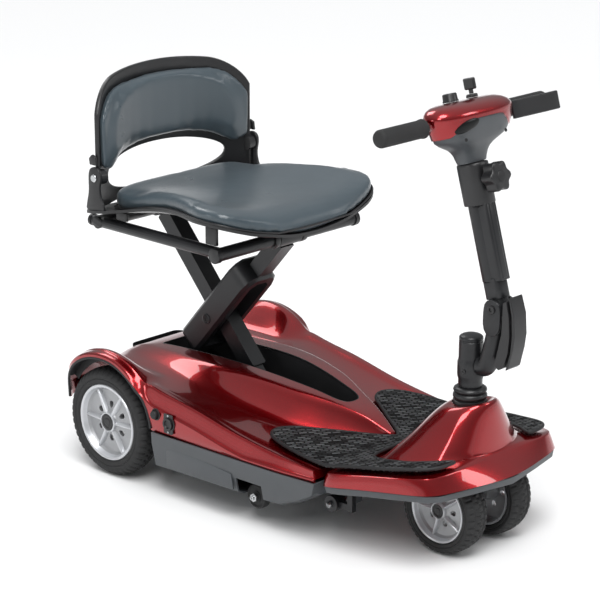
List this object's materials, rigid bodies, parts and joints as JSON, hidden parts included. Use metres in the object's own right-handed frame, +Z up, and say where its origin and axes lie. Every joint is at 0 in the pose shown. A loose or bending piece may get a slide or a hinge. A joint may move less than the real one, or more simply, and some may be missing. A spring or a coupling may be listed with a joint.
{
  "type": "mobility scooter",
  "caption": "Small folding travel mobility scooter: low red floor body on wheels, scissor-legged seat with a folding backrest, and a folding steering tiller.",
  "frame": {"origin": "on the floor, under the middle of the overall length and width", "axes": "+Z up; -Y is forwards, the way the rider faces; +X is the rider's left"},
  "size_m": [0.475, 0.9515, 0.8288],
  "materials": {
    "red_paint": "glossy metallic red lacquer",
    "grey_plastic": "fine-grained moulded plastic",
    "black_plastic": "satin moulded plastic",
    "frame_black": "satin powder coat",
    "steel": "zinc plated",
    "rim": "silver lacquer",
    "tyre": "solid rubber with block tread",
    "rubber": "soft matt rubber",
    "vinyl": "smooth slate-grey vinyl",
    "carpet": "ribbed black carpet",
    "window": "dark gloss",
    "drive": "cast"
  },
  "bodies": {
    "chassis": {"main_frame": "frame_black", "front_frame": "frame_black", "section_rod": "steel", "rear_cover": "red_paint", "rear_tray": "grey_plastic", "slot_liner": "black_plastic", "leg_bracket": "frame_black", "battery_pack": "grey_plastic", "control_box": "black_plastic", "drive_unit": "drive", "charger_socket": "steel", "grab_handle": "black_plastic", "front_cover": "red_paint", "front_tray": "grey_plastic", "floor_mat": "carpet", "column_bellows": "rubber", "trolley_axle": "steel"},
    "power_button": {"power_button": "black_plastic"},
    "trolley_wheel_right": {"trolley_wheel_right": "rubber"},
    "trolley_wheel_left": {"trolley_wheel_left": "rubber"},
    "rear_wheel_right": {"rear_rim_right": "rim", "rear_tyre_right": "tyre"},
    "rear_wheel_left": {"rear_rim_left": "rim", "rear_tyre_left": "tyre"},
    "steering": {"front_fork": "frame_black", "front_axle": "steel", "column_stub": "frame_black", "curved_arm": "frame_black", "fold_casing": "black_plastic"},
    "front_wheel_right": {"front_rim_right": "rim", "front_tyre_right": "tyre"},
    "front_wheel_left": {"front_rim_left": "rim", "front_tyre_left": "tyre"},
    "fold_lever": {"fold_lever": "black_plastic"},
    "tiller": {"tiller_tube": "frame_black", "clamp_collar": "black_plastic"},
    "clamp_knob": {"clamp_knob": "black_plastic"},
    "console": {"inner_tube": "steel", "console_lower": "grey_plastic", "console_cover": "red_paint", "front_window": "window", "handlebar": "steel", "grip_right": "rubber", "grip_left": "rubber", "key_lock": "steel"},
    "speed_dial": {"speed_dial": "black_plastic"},
    "key": {"key": "black_plastic"},
    "throttle_lever": {"throttle_lever": "black_plastic"},
    "fork_leg": {"fork_leg": "frame_black"},
    "seat": {"seat_frame": "frame_black", "seat_pan": "black_plastic", "seat_cushion": "vinyl", "backrest_bolt_right": "steel", "backrest_bolt_left": "steel"},
    "slide_leg": {"slide_leg": "frame_black"},
    "slide_shoe": {"slide_shoe": "black_plastic"},
    "backrest": {"backrest_shell": "black_plastic", "backrest_pad": "vinyl"}
  },
  "joints": [
    {"name": "rear_axle_right", "type": "hinge", "parent": "chassis", "child": "rear_wheel_right", "pos_m": [-0.2033, 0.335, 0.105], "axis": [1, 0, 0], "continuous": true},
    {"name": "rear_axle_left", "type": "hinge", "parent": "chassis", "child": "rear_wheel_left", "pos_m": [0.2033, 0.335, 0.105], "axis": [1, 0, 0], "continuous": true},
    {"name": "trolley_right", "type": "hinge", "parent": "chassis", "child": "trolley_wheel_right", "pos_m": [-0.194, -0.041, 0.0515], "axis": [1, 0, 0], "continuous": true},
    {"name": "trolley_left", "type": "hinge", "parent": "chassis", "child": "trolley_wheel_left", "pos_m": [0.194, -0.041, 0.0515], "axis": [1, 0, 0], "continuous": true},
    {"name": "steer", "type": "hinge", "parent": "chassis", "child": "steering", "pos_m": [0, -0.368, 0.2], "axis": [0, 0, 1], "range_deg": [-30, 30]},
    {"name": "front_axle_right", "type": "hinge", "parent": "steering", "child": "front_wheel_right", "pos_m": [-0.0605, -0.368, 0.08], "axis": [1, 0, 0], "continuous": true},
    {"name": "front_axle_left", "type": "hinge", "parent": "steering", "child": "front_wheel_left", "pos_m": [0.0605, -0.368, 0.08], "axis": [1, 0, 0], "continuous": true},
    {"name": "fold_release", "type": "hinge", "parent": "steering", "child": "fold_lever", "pos_m": [0, -0.4622, 0.4715], "axis": [-1, 0, 0], "range_deg": [0, 10], "stiffness_Nm_per_rad": 0.15, "springref_deg": -20.05},
    {"name": "tiller_fold", "type": "hinge", "parent": "steering", "child": "tiller", "pos_m": [0, -0.43, 0.448], "axis": [-1, 0, 0], "range_deg": [0, 70]},
    {"name": "clamp_turn", "type": "hinge", "parent": "tiller", "child": "clamp_knob", "pos_m": [0, -0.41437, 0.67438], "axis": [0, -0.9617, 0.274], "range_deg": [0, 360]},
    {"name": "handlebar_height", "type": "slide", "parent": "tiller", "child": "console", "axis": [0, 0.274, 0.9617], "range_m": [0, 0.1]},
    {"name": "speed_turn", "type": "hinge", "parent": "console", "child": "speed_dial", "pos_m": [-0.026, -0.33356, 0.7938], "axis": [0, -0.274, -0.9617], "range_deg": [0, 270]},
    {"name": "key_turn", "type": "hinge", "parent": "console", "child": "key", "pos_m": [0.03, -0.33356, 0.7938], "axis": [0, -0.274, -0.9617], "range_deg": [0, 90]},
    {"name": "throttle", "type": "hinge", "parent": "console", "child": "throttle_lever", "pos_m": [0.107, -0.35929, 0.7637], "axis": [0, 0.274, 0.9617], "range_deg": [0, 9], "stiffness_Nm_per_rad": 0.3, "springref_deg": -11.46},
    {"name": "power_press", "type": "slide", "parent": "chassis", "child": "power_button", "axis": [1, 0, 0], "range_m": [0, 0.003], "stiffness_N_per_m": 300, "springref_m": -0.001},
    {"name": "seat_lower", "type": "hinge", "parent": "chassis", "child": "fork_leg", "pos_m": [0, 0.3427, 0.1765], "axis": [1, 0, 0], "range_deg": [0, 24]},
    {"name": "seat_pivot", "type": "hinge", "parent": "fork_leg", "child": "seat", "pos_m": [0, 0.07858, 0.47503], "axis": [1, 0, 0], "range_deg": [-24, 0]},
    {"name": "slide_leg_pivot", "type": "hinge", "parent": "seat", "child": "slide_leg", "pos_m": [0, 0.4047, 0.47503], "axis": [1, 0, 0], "range_deg": [-24, 0]},
    {"name": "shoe_pivot", "type": "hinge", "parent": "slide_leg", "child": "slide_shoe", "pos_m": [0, 0.14058, 0.1765], "axis": [1, 0, 0], "range_deg": [0, 24]},
    {"name": "backrest_fold", "type": "hinge", "parent": "seat", "child": "backrest", "pos_m": [0, 0.3716, 0.572], "axis": [1, 0, 0], "range_deg": [0, 72]}
  ],
  "couplings": [
    {"joint": "seat_pivot", "follows": "seat_lower", "ratio": -1},
    {"joint": "slide_leg_pivot", "follows": "seat_lower", "ratio": -1},
    {"joint": "shoe_pivot", "follows": "seat_lower", "ratio": 1}
  ]
}
